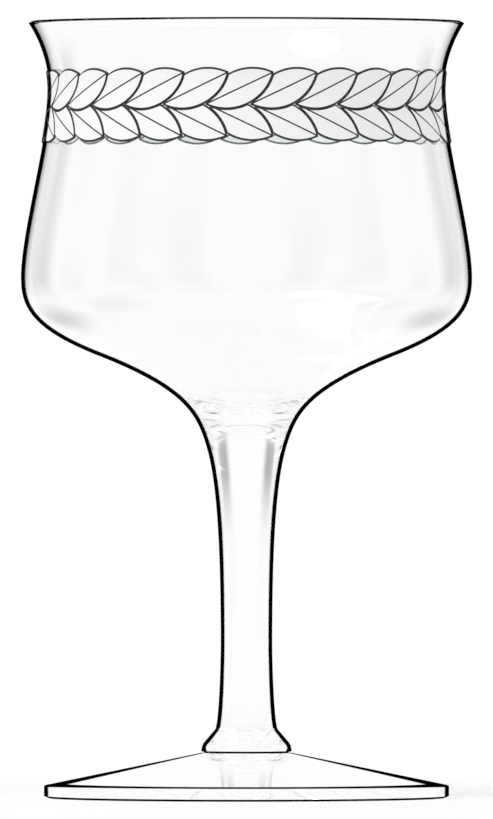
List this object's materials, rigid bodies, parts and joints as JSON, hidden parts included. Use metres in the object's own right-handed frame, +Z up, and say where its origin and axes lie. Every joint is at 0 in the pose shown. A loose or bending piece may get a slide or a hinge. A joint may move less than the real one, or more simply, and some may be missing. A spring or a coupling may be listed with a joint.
{
  "type": "water goblet",
  "caption": "Stemmed water goblet with a flared, full-bellied glass bowl, a two-row leaf border, a slender stem with a collar and a conical foot.",
  "frame": {"origin": "centre of the foot's resting ring, on the surface that the goblet stands on", "axes": "+Z up along the stem, -Y to the front that the drawing shows, +X to the right of that view"},
  "size_m": [0.093, 0.0928, 0.16],
  "materials": {
    "clear_glass": "clear, colourless, polished",
    "satin_glass": "satin, slightly raised"
  },
  "bodies": {
    "root": {"bowl": "clear_glass", "stem": "clear_glass", "foot": "clear_glass", "leaf_row_upper": "satin_glass", "leaf_row_lower": "satin_glass"}
  },
  "joints": []
}
